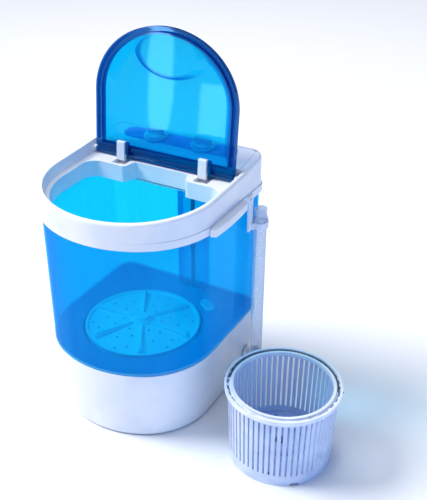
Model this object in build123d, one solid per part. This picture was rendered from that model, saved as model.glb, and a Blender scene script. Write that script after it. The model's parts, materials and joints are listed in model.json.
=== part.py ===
from build123d import *
import math
import os

# Portable mini washer, millimetres, +Z up.
# Origin: on the floor, on the pulsator's axis. -Y is the round front, +Y the flat back.

# ---- driving dimensions -------------------------------------------------------------
LIP_HALF = 165.0            # half the overall width, at the collar's lip
LIP_FRONT = 161.0           # axis to the front of the lip
LIP_BACK = 181.0            # axis to the back of the lip
CORNER = 30.0               # rear corner radius of the D-shaped plan
BASE_TOP = 141.4            # top of the white base
LIP_BOTTOM = 391.5          # underside of the collar's lip
LIP_TOP = 405.0
DECK_EDGE_Y = 99.0          # front edge of the control deck
DECK_EDGE_Z = 451.0
DECK_SLOPE = 8.2            # degrees, the deck rises to the rear
RIM_ROUND = 6.0
DECK_HALF = 147.5
DECK_DEPTH = 72.0           # deck plate, front to back along the slope
PLATE = 3.0
WALL = 3.0                  # white ABS mouldings
TUB_WALL = 2.5
SEAM = 1.0                  # gap round the deck plate

LID_PIVOT_Y = 89.0
LID_PIVOT_Z = 437.0
LID_LEAN = 5.65             # degrees past upright, as it stands open
LID_CLOSED_SLOPE = 2.0      # degrees, the shut lid falls to the front
LID_HALF = 143.0
LID_STRAIGHT = 114.0        # pivot to the start of the round end
LID_LENGTH = 240.0          # pivot to the tip of the round end
LID_THICK = 12.0
LID_RIM = 13.0
LID_LOW = 16.0              # height of the window's lower edge above the pivot
DOME_RISE = 10.0            # the window stands proud of the rim by this much
DOME_RUN = 14.0             # width of its sloping edge
SCOOP_V = 192.0
SCOOP_FLOOR = (54.0, 36.0)
SCOOP_MOUTH = (75.0, 43.0)
BARREL_R = 6.0
PIN_R = 2.0
ARM_X = 85.0                # hinge arms, either side of the middle
ARM_HALF = 8.0
POCKET_Z = 421.5            # floor of the pockets that the arms fold into

PULSATOR_R = 108.0
PULSATOR_Z = 147.0          # rim height
TUB_FLOOR_Z = 144.5         # upper face of the tub floor
WELL_R = 112.0
WELL_Z = 134.0

BASKET_X, BASKET_Y = 309.5, -41.5
BASKET_RIM_R = 100.5
BASKET_BORE_R = 85.0
BASKET_H = 148.0
BASKET_SLOTS = 60
BAIL_TURN = 16.4            # degrees, direction of the bail's pivot line in plan
BAIL_R = 92.3
BAIL_WIRE_R = 1.2

HOSE_X, HOSE_Y = 176.5, 130.0
HOSE_R = 12.0
HOSE_LOW_Z = 62.0
HOSE_TOP_Z = 346.0
DRAIN_X, DRAIN_Y = 82.0, 104.0
OUTLET_Z = 44.0

MOTOR_X, MOTOR_Y = -72.0, 66.0
BELT_Z = 24.0
DRIVEN_R = 52.0
DRIVER_R = 13.0
SHAFT_R = 5.0
LUG_SHIFT = 13.0
RUNNING = 0.05              # radial clearance of a shaft in its bearing
KNOB_X = 50.0
KNOB_Y = 146.0
KNOB_R = 23.0

os.makedirs("parts", exist_ok=True)
parts = {}


# ---- helpers ------------------------------------------------------------------------
def z_cyl(radius, low, high, x=0.0, y=0.0):
    """Upright cylinder between two heights."""
    return Pos(x, y, (low + high) / 2) * Cylinder(radius, high - low)


def z_tube(outer, inner, low, high, x=0.0, y=0.0):
    return z_cyl(outer, low, high, x, y) - z_cyl(inner, low - 1, high + 1, x, y)


def block(x0, x1, y0, y1, z0, z1):
    return Pos((x0 + x1) / 2, (y0 + y1) / 2, (z0 + z1) / 2) * Box(x1 - x0, y1 - y0, z1 - z0)


def front_arcs(half, front):
    """Centres and joints of the three-arc round front: (side y, join x, join y, side arc middle)."""
    small, big = 0.88 * half, 1.15 * half
    side_x = half - small
    big_y = big - front
    side_y = big_y - math.sqrt((big - small) ** 2 - side_x ** 2)
    join_x = big * side_x / (big - small)
    join_y = big_y + big * (side_y - big_y) / (big - small)
    turn = math.atan2(join_y - side_y, join_x - side_x) / 2
    middle = (side_x + small * math.cos(turn), side_y + small * math.sin(turn))
    return side_y, join_x, join_y, middle


def d_edges(half, front):
    """The round front as three tangent arcs, from the left side to the right side."""
    side_y, join_x, join_y, (mid_x, mid_y) = front_arcs(half, front)
    return side_y, [
        ThreePointArc((-half, side_y), (-mid_x, mid_y), (-join_x, join_y)),
        ThreePointArc((-join_x, join_y), (0, -front), (join_x, join_y)),
        ThreePointArc((join_x, join_y), (mid_x, mid_y), (half, side_y)),
    ]


def d_face(half, front, back, corner, z):
    """D-shaped plan: round front, straight sides, flat back with rounded corners."""
    side_y, edges = d_edges(half, front)
    bend = corner * (1 - math.sqrt(0.5))
    low = back - corner
    edges += [
        Line((half, side_y), (half, low)),
        ThreePointArc((half, low), (half - bend, back - bend), (half - corner, back)),
        Line((half - corner, back), (corner - half, back)),
        ThreePointArc((corner - half, back), (bend - half, back - bend), (-half, low)),
        Line((-half, low), (-half, side_y)),
    ]
    return Pos(0, 0, z) * make_face(edges)


def d_solid(*sections):
    """Loft through (z, half, front, back, corner) sections, straight between them."""
    faces = [d_face(half, front, back, corner, z) for z, half, front, back, corner in sections]
    return loft(faces, ruled=True)


def inset(section, amount):
    z, half, front, back, corner = section
    return z, half - amount, front - amount, back - amount, max(corner - amount, 1.0)


def wave_face(half, front, side_back, middle_back, z):
    """Opening plan: a D whose rear wall steps back in the middle, in smooth S curves."""
    side_y, edges = d_edges(half, front)
    corner = 26.0
    bend = corner * (1 - math.sqrt(0.5))
    low = side_back - corner
    outer, inner = 70.0, 50.0
    edges += [
        Line((half, side_y), (half, low)),
        ThreePointArc((half, low), (half - bend, side_back - bend), (half - corner, side_back)),
        Line((half - corner, side_back), (outer, side_back)),
        Spline((outer, side_back), (inner, middle_back), tangents=((-1, 0), (-1, 0))),
        Line((inner, middle_back), (-inner, middle_back)),
        Spline((-inner, middle_back), (-outer, side_back), tangents=((-1, 0), (-1, 0))),
        Line((-outer, side_back), (corner - half, side_back)),
        ThreePointArc((corner - half, side_back), (bend - half, side_back - bend), (-half, low)),
        Line((-half, low), (-half, side_y)),
    ]
    return Pos(0, 0, z) * make_face(edges)


def half_space(y, z, tilt, above=True):
    """A big block whose lower (or upper) face passes through (y, z), tilted about X."""
    size = 900.0
    shift = size / 2 if above else -size / 2
    return Pos(0, y, z) * Rot(tilt, 0, 0) * Pos(0, 0, shift) * Box(size, size, size)


def deck(*offset):
    """Frame of the sloping deck: x along the width, y up the slope, z out of it."""
    return Pos(0, DECK_EDGE_Y, DECK_EDGE_Z) * Rot(DECK_SLOPE, 0, 0) * Pos(*offset)


def tube_along(path, outer, inner=0.0):
    start = path ^ 0
    pipe = sweep(start * Circle(outer), path=path)
    if inner:
        pipe -= sweep(start * Circle(inner), path=path)
    return pipe


def rest_plane(y):
    """Height of the ledge that the shut lid lies on."""
    return LID_PIVOT_Z - LID_THICK / 2 - 1.0 + (y - LID_PIVOT_Y) * math.tan(math.radians(LID_CLOSED_SLOPE))


# ---- base ---------------------------------------------------------------------------
BASE_LOW = (2.0, 150.0, 151.5, 168.0, 26.0)
BASE_HIGH = (BASE_TOP, 159.2, 160.5, 177.0, 29.0)


def make_base_housing():
    shell = d_solid(BASE_LOW, BASE_HIGH)
    shell = fillet(shell.faces().sort_by(Axis.Z)[0].edges(), 4.0)
    low, high = inset(BASE_LOW, WALL), inset(BASE_HIGH, WALL)
    hollow = d_solid((0.0,) + low[1:], (BASE_TOP - WALL,) + high[1:])
    shell -= hollow
    shell -= z_cyl(WELL_R + 4.0, BASE_TOP - 10, BASE_TOP + 10)
    shell -= z_cyl(12.0, BASE_TOP - 10, BASE_TOP + 10, DRAIN_X, DRAIN_Y)
    shell -= block(-2.0, 38.0, 152.0, 170.0, BASE_TOP - 10, BASE_TOP + 10)
    shell -= Pos(150, HOSE_Y, OUTLET_Z) * Rot(0, 90, 0) * Cylinder(11.0, 30)
    shell -= Pos(-95, 170, 40) * Rot(90, 0, 0) * Cylinder(7.0, 30)
    return shell


def make_bottom_cover():
    plate = d_solid((2.6, 145.4, 146.9, 163.4, 22.0), (5.6, 145.6, 147.1, 163.6, 22.2))
    slots = [block(-22, 22, y - 2, y + 2, 0, 10) for y in range(-100, -40, 10)]
    return plate - slots


COVER_SCREWS = [(-130, 20), (130, 20), (-60, 150), (60, 150), (-45, -125), (45, -125)]
FEET = {"front_left": (-95, -70), "front_right": (95, -70), "rear_left": (-112, 128), "rear_right": (112, 128)}


def make_foot(x, y):
    pad = Pos(x, y, 1.25) * Cylinder(14, 2.5)
    pad = fillet(pad.edges().sort_by(Axis.Z)[0], 0.8)
    return pad + z_cyl(10, 2.4, 2.6, x, y)


parts["base_housing"] = make_base_housing()
parts["bottom_cover"] = make_bottom_cover()
for name, (foot_x, foot_y) in FEET.items():
    parts["foot_" + name] = make_foot(foot_x, foot_y)

# ---- tub ----------------------------------------------------------------------------
TUB_LOW = (BASE_TOP, 157.6, 159.0, 175.5, 28.0)
TUB_HIGH = (LIP_TOP - 2.0, 160.5, 158.5, 176.8, 29.0)
CHANNEL = (-12.0, 48.0, 150.0)          # x from, x to, front face y


def make_tub():
    shell = d_solid(TUB_LOW, TUB_HIGH)
    low, high = inset(TUB_LOW, TUB_WALL), inset(TUB_HIGH, TUB_WALL)
    shell -= d_solid((TUB_FLOOR_Z,) + low[1:], (TUB_HIGH[0] + 1,) + high[1:])
    shell += z_cyl(WELL_R + 2.5, WELL_Z - 2.5, BASE_TOP + 1)
    shell -= z_cyl(WELL_R, WELL_Z, TUB_FLOOR_Z + 1)
    shell -= z_cyl(14.0, WELL_Z - 10, WELL_Z + 10)
    shell -= z_cyl(9.0, BASE_TOP - 10, TUB_FLOOR_Z + 1, DRAIN_X, DRAIN_Y)
    shell -= block(0.0, 36.0, 154.0, 168.0, BASE_TOP - 5, TUB_FLOOR_Z + 5)
    return shell


def make_channel_cover():
    """Three-sided cover up the rear wall, over the wires from the deck to the base."""
    x0, x1, face = CHANNEL
    outer = block(x0, x1, face, 172.4, TUB_FLOOR_Z, 391.8)
    outer = fillet(outer.edges().filter_by(Axis.Z).group_by(Axis.Y)[0], 6.0)
    return outer - block(x0 + 2.5, x1 - 2.5, face + 2.5, 174.0, TUB_FLOOR_Z - 1, 400.0)


def make_strainer():
    """Oval slotted dome over the drain."""
    turn = Pos(DRAIN_X, DRAIN_Y, TUB_FLOOR_Z) * Rot(0, 0, -35)
    dome = turn * extrude(SlotOverall(40, 20), 5.0)
    dome = fillet(dome.faces().sort_by(Axis.Z)[-1].edges(), 2.0)
    slots = [turn * Pos(x, 0, 3) * Box(2.0, 12.0, 8.0) for x in range(-12, 13, 4)]
    return dome - turn * Pos(0, 0, 1.0) * extrude(SlotOverall(34, 14), 2.0) - slots


parts["wash_tub"] = make_tub()
parts["channel_cover"] = make_channel_cover()
parts["wire_loom"] = z_cyl(4.0, 100.0, 410.0, 18.0, 161.0)
parts["drain_strainer"] = make_strainer()

# ---- collar, skirt and deck ---------------------------------------------------------
LIP = (LIP_BOTTOM, LIP_HALF, LIP_FRONT, LIP_BACK, CORNER)
COLLAR_LOW = (LIP_BOTTOM, 163.0, 161.0, 179.5, 29.0)
COLLAR_HIGH = (480.0, 161.6, 160.6, 178.5, 28.5)
RECESS_LOW = (412.0, 144.6, 154.4, DECK_EDGE_Y, 2.0)
RECESS_HIGH = (452.0, 155.6, 155.2, DECK_EDGE_Y, 2.0)
SKIRT_TOP = (140.0, 148.0, 56.0, 81.0)
SKIRT_LOW = (137.5, 145.5, 54.0, 80.0)
SKIRT_BOTTOM = 398.0


def under_top(gap):
    """Everything below the collar's top surface, less a gap: a rising curve, then the deck's slope."""
    edge_z = DECK_EDGE_Z - gap
    rear_y = 200.0
    rear_z = edge_z + (rear_y - DECK_EDGE_Y) * math.tan(math.radians(DECK_SLOPE))
    crown = Spline((-175, 435.5 - gap), (-60, 444.0 - gap), (20, 447.0 - gap), (DECK_EDGE_Y, edge_z))
    outline = [crown, Polyline((DECK_EDGE_Y, edge_z), (rear_y, rear_z), (rear_y, 300), (-175, 300), (-175, 435.5 - gap))]
    face = Plane.YZ * make_face(outline)
    return extrude(face, 200, both=True)


def lid_recess(grow, drop):
    low, high = inset(RECESS_LOW, -grow), inset(RECESS_HIGH, -grow)
    tray = d_solid((400.0,) + low[1:], low, high, (480.0,) + high[1:])
    floor_z = rest_plane(LID_PIVOT_Y) - drop
    return tray & half_space(LID_PIVOT_Y, floor_z, LID_CLOSED_SLOPE)


def pocket(side, grow, top):
    """Space that a hinge arm and its lug fold into, grown by the wall round it."""
    x0 = side * ARM_X - ARM_HALF - 2.0 - grow
    x1 = side * ARM_X + LUG_SHIFT + 5.0 + grow
    return block(x0, x1, 61.0 - grow + 0.5, DECK_EDGE_Y, POCKET_Z - grow, top)


def make_collar():
    """White moulded top: stepped lip, rounded rim, lid recess with its ledge, and the rear deck."""
    body = d_solid(LIP, (LIP_TOP,) + LIP[1:]) + d_solid(COLLAR_LOW, COLLAR_HIGH)
    body &= under_top(0.0)
    body = fillet([edge for edge in body.edges() if edge.bounding_box().min.Z > LIP_TOP + 20], RIM_ROUND)
    inside = d_solid(inset(COLLAR_LOW, 1.7), inset(COLLAR_HIGH, WALL))
    body -= (inside & under_top(10.0)) - lid_recess(WALL, WALL)
    body -= inside & block(-200, 200, -200, 200, 380, LIP_BOTTOM + 3)
    body -= lid_recess(0.0, 0.0)
    body -= loft([wave_face(*SKIRT_LOW, 380.0), wave_face(*SKIRT_TOP, 460.0)], ruled=True)
    for side in (-1, 1):
        body += pocket(side, WALL, 429.0)
        body -= pocket(side, 0.0, 460.0)
        body -= deck(side * KNOB_X, KNOB_Y - DECK_EDGE_Y, 0) * Cylinder(6.0, 60)
        pin = Pos(side * 150, LID_PIVOT_Y, LID_PIVOT_Z) * Rot(0, 90, 0)
        body += pin * Cylinder(6.0, 10) & inside
        body -= pin * Cylinder(PIN_R + RUNNING, 12)
    body -= deck(0, DECK_DEPTH / 2, -PLATE / 2) * Box(2 * DECK_HALF, DECK_DEPTH, PLATE)
    return body


def make_skirt():
    """Funnel under the collar's ledge, 2.5 mm thick, with the stepped rear wall."""
    grown_low = (SKIRT_LOW[0] + 2.5, SKIRT_LOW[1] + 2.5, SKIRT_LOW[2] + 2.5, SKIRT_LOW[3] + 2.5)
    outer = extrude(wave_face(*grown_low, SKIRT_BOTTOM), 60.0)
    inner = loft([wave_face(*SKIRT_LOW, 380.0), wave_face(*SKIRT_TOP, 460.0)], ruled=True)
    under_ledge = half_space(LID_PIVOT_Y, rest_plane(LID_PIVOT_Y) - WALL, LID_CLOSED_SLOPE, False)
    skirt = (outer - inner) & under_ledge
    for side in (-1, 1):
        skirt -= pocket(side, WALL, 440.0)
    return skirt


def make_deck_plate():
    plate = deck(0, DECK_DEPTH / 2, -PLATE / 2) * Box(2 * (DECK_HALF - SEAM), DECK_DEPTH - 2 * SEAM, PLATE)
    rear = plate.edges().filter_by(lambda e: e.length < PLATE + 0.1).group_by(Axis.Y)[-1]
    plate = fillet(rear, 12.0)
    for side in (-1, 1):
        plate -= deck(side * KNOB_X, KNOB_Y - DECK_EDGE_Y, 0) * Cylinder(4.0, 20)
    return plate


def make_overlay():
    """Thin printed band under the two knobs."""
    band = deck(0, KNOB_Y - DECK_EDGE_Y, 0) * extrude(SlotOverall(236, 38), 0.6)
    for side in (-1, 1):
        band -= deck(side * KNOB_X, KNOB_Y - DECK_EDGE_Y, 0) * Cylinder(4.0, 20)
    return band


def make_tray():
    """Splash tray that closes the control space from below."""
    plate = block(-150, 150, 84.0, 170.0, 392.0, 394.5)
    plate = fillet(plate.edges().filter_by(Axis.Z), 8.0)
    return plate - block(12, 24, 155, 167, 390, 396)


def make_knob(side):
    """Round knob with a finger bar across it and a skirt."""
    frame = deck(side * KNOB_X, KNOB_Y - DECK_EDGE_Y, 1.2)
    skirt = extrude(Circle(KNOB_R), 4.0)
    dome = Pos(0, 0, 4.0) * extrude(Circle(KNOB_R - 3), 3.0, taper=20)
    bar = Pos(0, 0, 5.0) * extrude(SlotOverall(2 * KNOB_R - 10, 11), 12.0, taper=6)
    knob = skirt + dome + bar
    knob -= Pos(0, 0, -1) * Cylinder(3.0, 24)
    return frame * knob


def make_knob_shaft(side):
    frame = deck(side * KNOB_X, KNOB_Y - DECK_EDGE_Y, 1.2)
    return frame * Pos(0, 0, -2.0) * Cylinder(3.0, 26)


def make_mechanism(side, radius, depth):
    """Round timer or switch case under the deck, with a bore for its shaft."""
    frame = deck(side * KNOB_X, KNOB_Y - DECK_EDGE_Y, -13.0)
    case = Pos(0, 0, -depth / 2) * Cylinder(radius, depth)
    case += Pos(0, 0, 1.4) * Cylinder(8.0, 2.8)
    case -= Pos(0, 0, 1.0) * Cylinder(3.0 + RUNNING, 12.0)
    return frame * case


def make_saddle(side):
    """Bearing block behind the lid's barrel, beyond the hinge arm; clear of the closed lid."""
    x0, x1 = sorted((side * 106.0, side * 138.0))
    y0, y1 = LID_PIVOT_Y - 1.5, DECK_EDGE_Y - 0.5
    seat = block(x0, x1, y0, y1, rest_plane(LID_PIVOT_Y) + 0.4, LID_PIVOT_Z - 1.0)
    groove = Pos(side * 118, LID_PIVOT_Y, LID_PIVOT_Z) * Rot(0, 90, 0) * Cylinder(BARREL_R + 0.3, 60)
    return seat - groove


def make_handle(side):
    """Finger grip moulded out of the lip, curved in plan, hollow below."""
    x_in, x_out = LIP_HALF, LIP_HALF + 12.0
    plan = [Line((x_in, -37), (x_out - 3, -33)), ThreePointArc((x_out - 3, -33), (x_out, 24), (x_out - 3, 81)),
            Line((x_out - 3, 81), (x_in, 85)), Line((x_in, 85), (x_in, -37))]
    grip = Pos(0, 0, LIP_BOTTOM - 2) * extrude(make_face(plan), 15.0)
    grip = fillet(grip.edges().group_by(Axis.Z)[-1].filter_by(lambda e: e.center().X > x_in + 1), 3.0)
    grip -= block(x_in + 1, x_out - 4, -28, 76, LIP_BOTTOM - 3, LIP_BOTTOM + 9)
    return grip if side > 0 else mirror(grip, about=Plane.YZ)


parts["top_collar"] = make_collar()
parts["tub_skirt"] = make_skirt()
parts["control_deck"] = make_deck_plate()
parts["deck_overlay"] = make_overlay()
parts["splash_tray"] = make_tray()
for name, side in (("timer", -1), ("selector", 1)):
    parts[name + "_knob"] = make_knob(side)
    parts[name + "_shaft"] = make_knob_shaft(side)
parts["wash_timer"] = make_mechanism(-1, 24.0, 30.0)
parts["drain_switch"] = make_mechanism(1, 18.0, 20.0)
for name, side in (("left", -1), ("right", 1)):
    parts["hinge_saddle_" + name] = make_saddle(side)
    parts["side_grip_" + name] = make_handle(side)


# ---- lid, standing open -------------------------------------------------------------
def lid_frame_at():
    """Lid frame: x across, y up the lid from the pivot, z out of its inner face, to the front."""
    return Pos(0, LID_PIVOT_Y, LID_PIVOT_Z) * Rot(90 - LID_LEAN, 0, 0)


def arch_face(half, straight, length, low=0.0):
    """Arch outline: straight sides, half-ellipse end."""
    outline = [Line((-half, low), (half, low)), Line((half, low), (half, straight)),
               EllipticalCenterArc((0, straight), half, length - straight, arc_size=180),
               Line((-half, straight), (-half, low))]
    return make_face(outline)


def make_lid_frame():
    """Thick rim of the lid: an arch-shaped channel, open towards the inner face."""
    rim = extrude(arch_face(LID_HALF, LID_STRAIGHT, LID_LENGTH, 9.0), LID_THICK)
    rim = fillet(rim.faces().sort_by(Axis.Z)[0].edges().filter_by(lambda e: e.center().Y > 10), 3.5)
    bore = arch_face(LID_HALF - LID_RIM, LID_STRAIGHT, LID_LENGTH - LID_RIM, LID_LOW)
    rim -= Pos(0, 0, -1) * extrude(bore, LID_THICK + 2)
    groove = arch_face(LID_HALF - 3, LID_STRAIGHT, LID_LENGTH - 3, 0) - arch_face(
        LID_HALF - LID_RIM + 3, LID_STRAIGHT, LID_LENGTH - LID_RIM + 3, -1)
    rim -= Pos(0, 0, 3.5) * extrude(groove - Pos(0, 0) * Rectangle(400, 44), LID_THICK)
    return lid_frame_at() * Pos(0, 0, -LID_THICK / 2) * rim


def dome_loft(outer_z, inner_z, grow):
    """Solid between the arch at the rim's bore and the smaller arch of the raised window."""
    half, length, low = LID_HALF - LID_RIM - grow, LID_LENGTH - LID_RIM - grow, LID_LOW + grow
    foot = Pos(0, 0, inner_z) * arch_face(half, LID_STRAIGHT, length, low)
    top = Pos(0, 0, outer_z) * arch_face(half - DOME_RUN, LID_STRAIGHT, length - DOME_RUN, low + DOME_RUN)
    return loft([foot, top])


def scoop(grow, inner_z, outer_z):
    """Tapered finger recess in the round end of the raised window."""
    floor = Pos(0, SCOOP_V, inner_z) * Ellipse(SCOOP_FLOOR[0] + grow, SCOOP_FLOOR[1] + grow)
    mouth = Pos(0, SCOOP_V, outer_z) * Ellipse(SCOOP_MOUTH[0] + grow, SCOOP_MOUTH[1] + grow)
    return loft([floor, mouth])


def make_lid_panel():
    """Raised window inside the rim, with a finger recess let in from the outer face."""
    wall, foot_z = 2.5, -LID_THICK / 2
    top_z = foot_z - DOME_RISE
    arch = (LID_HALF - LID_RIM, LID_STRAIGHT, LID_LENGTH - LID_RIM, LID_LOW)
    shell = dome_loft(top_z, foot_z, 0.0) + Pos(0, 0, foot_z) * extrude(arch_face(*arch), wall)
    shell -= scoop(0.0, foot_z, top_z - 0.01)
    shell -= dome_loft(top_z + wall, foot_z + wall, wall) - scoop(wall, foot_z + wall, top_z)
    return lid_frame_at() * shell


def make_barrel():
    """Hinge bar along the bottom of the lid, bored for its pins, cut away at the two arms."""
    turn = Pos(0, LID_PIVOT_Y, LID_PIVOT_Z) * Rot(0, 90, 0)
    bar = turn * Cylinder(BARREL_R, 2 * LID_HALF)
    web = lid_frame_at() * Pos(0, 6.0, 0) * Box(2 * LID_HALF - 2, 6.0, 6.0)
    bar = bar + web + make_lug(-1) + make_lug(1)
    return bar - turn * Cylinder(PIN_R, 2 * LID_HALF + 2) + turn * Cylinder(PIN_R, 2 * LID_HALF - 60)


def make_pin(side):
    """Short steel pin from the collar's side into the end of the barrel."""
    return Pos(side * 134.5, LID_PIVOT_Y, LID_PIVOT_Z) * Rot(0, 90, 0) * Cylinder(PIN_R, 39.0)


def make_arm(side):
    """White arm on the lid's inner face; it folds into the pocket in the ledge."""
    arm = Pos(side * ARM_X, 8.5, LID_THICK / 2 + 3.5) * Box(2 * ARM_HALF, 36.0, 7.0)
    arm = fillet(arm.edges().filter_by(Axis.X).group_by(Axis.Z)[-1], 2.0)
    return lid_frame_at() * arm


def make_lug(side):
    """Clear rib beside each arm, on the inner face and down to the web."""
    rib = Pos(side * ARM_X + LUG_SHIFT, 14.0, LID_THICK / 2 + 2.5) * Box(5.0, 24.0, 5.0)
    foot = Pos(side * ARM_X + LUG_SHIFT, 5.5, 4.5) * Box(5.0, 7.0, 9.0)
    return lid_frame_at() * (rib + foot)


parts["lid_frame"] = make_lid_frame()
parts["lid_panel"] = make_lid_panel()
parts["lid_barrel"] = make_barrel()
for name, side in (("left", -1), ("right", 1)):
    parts["hinge_pin_" + name] = make_pin(side)
    parts["hinge_arm_" + name] = make_arm(side)

# ---- pulsator and its drive ---------------------------------------------------------
HUB_TOP = PULSATOR_Z + 8.0
SHAFT_LOW = BELT_Z - 8.0
SHAFT_TOP = PULSATOR_Z + 2.0


def make_pulsator():
    """Thin disc with an up-turned rim, a low cone, six fins and rings of small holes."""
    rim_low = WELL_Z + 3.0
    profile = Polyline((SHAFT_R, PULSATOR_Z - 8), (SHAFT_R, HUB_TOP - 4), (0, HUB_TOP - 4), (0, HUB_TOP),
                       (16, HUB_TOP), (22, PULSATOR_Z + 3), (PULSATOR_R - 8, PULSATOR_Z - 3),
                       (PULSATOR_R - 4, PULSATOR_Z), (PULSATOR_R, PULSATOR_Z), (PULSATOR_R, rim_low),
                       (PULSATOR_R - 2.5, rim_low), (PULSATOR_R - 2.5, PULSATOR_Z - 5),
                       (PULSATOR_R - 8, PULSATOR_Z - 6), (22, PULSATOR_Z), (14, PULSATOR_Z - 8),
                       (SHAFT_R, PULSATOR_Z - 8))
    disc = revolve(Plane.XZ * make_face(profile), Axis.Z)
    for k in range(6):
        fin = Pos(58, 0, PULSATOR_Z + 2.5) * Box(80, 9, 9)
        fin = chamfer(fin.edges().filter_by(Axis.X).group_by(Axis.Z)[-1], 3.5)
        fin = chamfer(fin.edges().filter_by(Axis.Y).group_by(Axis.Z)[-1], 3.5)
        disc += Rot(0, 0, 60 * k) * fin
    for k in range(6):
        for radius, turn in ((36, 20), (52, 40), (68, 18), (84, 42), (94, 30)):
            angle = math.radians(60 * k + turn)
            disc -= z_cyl(2.2, WELL_Z, HUB_TOP, radius * math.cos(angle), radius * math.sin(angle))
    return disc


def pulley(radius, groove):
    """Flanged pulley on the belt's height, grooved for a round-bottomed belt."""
    profile = Polyline((0, -7), (radius, -7), (radius, -5), (groove, -3.5), (groove, 3.5), (radius, 5),
                       (radius, 7), (0, 7), (0, -7))
    return Pos(0, 0, BELT_Z) * revolve(Plane.XZ * make_face(profile), Axis.Z)


def make_belt():
    """Belt round both pulleys, a whisker clear of each groove."""
    span = math.hypot(MOTOR_X, MOTOR_Y)
    big, small = DRIVEN_R + 0.35, DRIVER_R + 0.35
    lean = math.degrees(math.acos((big - small) / span))
    outlines = []
    for grow in (3.5, 0.0):
        a, b = big + grow, small + grow
        c, s = math.cos(math.radians(lean)), math.sin(math.radians(lean))
        outlines.append(make_face([
            ThreePointArc((a * c, a * s), (-a, 0), (a * c, -a * s)),
            Line((a * c, -a * s), (span + b * c, -b * s)),
            ThreePointArc((span + b * c, -b * s), (span + b, 0), (span + b * c, b * s)),
            Line((span + b * c, b * s), (a * c, a * s)),
        ]))
    turn = math.degrees(math.atan2(MOTOR_Y, MOTOR_X))
    ring = extrude(outlines[0] - outlines[1], 6.0)
    return Pos(0, 0, BELT_Z - 3.0) * Rot(0, 0, turn) * ring


parts["pulsator"] = make_pulsator()
cap = z_cyl(13.0, HUB_TOP, HUB_TOP + 4.0)
parts["pulsator_cap"] = fillet(cap.edges().sort_by(Axis.Z)[-1], 2.5)
parts["pulsator_shaft"] = z_cyl(SHAFT_R, SHAFT_LOW, HUB_TOP - 4.0)
parts["driven_pulley"] = pulley(DRIVEN_R + 4, DRIVEN_R) - z_cyl(SHAFT_R, 0, 60)
parts["drive_belt"] = make_belt()
housing = z_tube(17.0, 11.0, 64.0, WELL_Z - 2.5) + z_tube(30.0, 11.0, WELL_Z - 6.5, WELL_Z - 2.5)
parts["bearing_housing"] = housing
parts["lower_bearing"] = z_tube(11.0, SHAFT_R + RUNNING, 66.0, 74.0)
parts["upper_bearing"] = z_tube(11.0, SHAFT_R + RUNNING, 112.0, 120.0)
parts["shaft_seal"] = z_tube(11.0, SHAFT_R + RUNNING, 122.0, WELL_Z + 1.0) + z_tube(
    13.5, SHAFT_R + RUNNING, WELL_Z + 0.0, WELL_Z + 1.0)

motor = z_tube(42.0, 4.0 + RUNNING, 44.0, 104.0, MOTOR_X, MOTOR_Y)
parts["drive_motor"] = fillet(motor.edges().filter_by(lambda e: e.length > 200), 4.0)
parts["motor_shaft"] = z_cyl(4.0, BELT_Z - 9.0, 110.0, MOTOR_X, MOTOR_Y)
parts["motor_pulley"] = Pos(MOTOR_X, MOTOR_Y, 0) * pulley(DRIVER_R + 3, DRIVER_R) - z_cyl(
    4.0, 0, 60, MOTOR_X, MOTOR_Y)


def make_motor_bracket():
    """Plate over the motor, hung from the base's top by three posts."""
    plate = z_tube(52.0, 8.0, 104.0, 107.0, MOTOR_X, MOTOR_Y)
    for k in range(3):
        angle = math.radians(120 * k + 78)
        x, y = MOTOR_X + 46 * math.cos(angle), MOTOR_Y + 46 * math.sin(angle)
        plate += z_cyl(5.0, 105.0, post_top(x, y), x, y)
    return plate


def post_top(x, y):
    """Posts under the well stop at its floor, the others reach the base's top plate."""
    return WELL_Z - 2.5 if math.hypot(x, y) < WELL_R + 8 else BASE_TOP - WALL


parts["motor_bracket"] = make_motor_bracket()
parts["run_capacitor"] = fillet(z_cyl(16.0, 5.6, 52.0, 75.0, -60.0).edges().sort_by(Axis.Z)[-1], 3.0)

# ---- drain and hose -----------------------------------------------------------------
drain_path = FilletPolyline((DRAIN_X, DRAIN_Y, BASE_TOP), (DRAIN_X, DRAIN_Y, OUTLET_Z),
                            (118.0, HOSE_Y, OUTLET_Z), (145.0, HOSE_Y, OUTLET_Z), radius=[20.0, 30.0])
parts["drain_tube"] = tube_along(drain_path, 9.0, 7.0)
elbow_path = FilletPolyline((145.0, HOSE_Y, OUTLET_Z), (HOSE_X, HOSE_Y, OUTLET_Z),
                            (HOSE_X, HOSE_Y, HOSE_LOW_Z), radius=14.0)
parts["drain_elbow"] = tube_along(elbow_path, 9.5, 7.0) + Pos(156.5, HOSE_Y, OUTLET_Z) * Rot(
    0, 90, 0) * Cylinder(15.0, 3.0) - Pos(156, HOSE_Y, OUTLET_Z) * Rot(0, 90, 0) * Cylinder(7.0, 8.0)
parts["drain_hose"] = z_tube(HOSE_R, HOSE_R - 2, HOSE_LOW_Z, HOSE_TOP_Z, HOSE_X, HOSE_Y)
parts["hose_collar"] = z_tube(HOSE_R + 2, HOSE_R - 2, HOSE_TOP_Z, HOSE_TOP_Z + 8, HOSE_X, HOSE_Y)
cuff = Pos(HOSE_X, HOSE_Y, HOSE_TOP_Z + 8) * extrude(Circle(HOSE_R - 1), 17, taper=-4)
parts["hose_cuff"] = cuff - z_cyl(HOSE_R - 3, 300, 400, HOSE_X, HOSE_Y)


def make_hook():
    """Bracket screwed under the lip, with a ring that holds the hose below its collar."""
    strip = block(165.0, 168.0, 98.0, 115.0, 334.0, LIP_TOP - 2)
    arm = block(165.0, 172.0, 110.0, 122.0, 334.0, HOSE_TOP_Z)
    ring = z_tube(HOSE_R + 3.0, HOSE_R, 334.0, HOSE_TOP_Z, HOSE_X, HOSE_Y)
    return strip + arm + ring - z_cyl(HOSE_R, 300, 380, HOSE_X, HOSE_Y)


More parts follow.
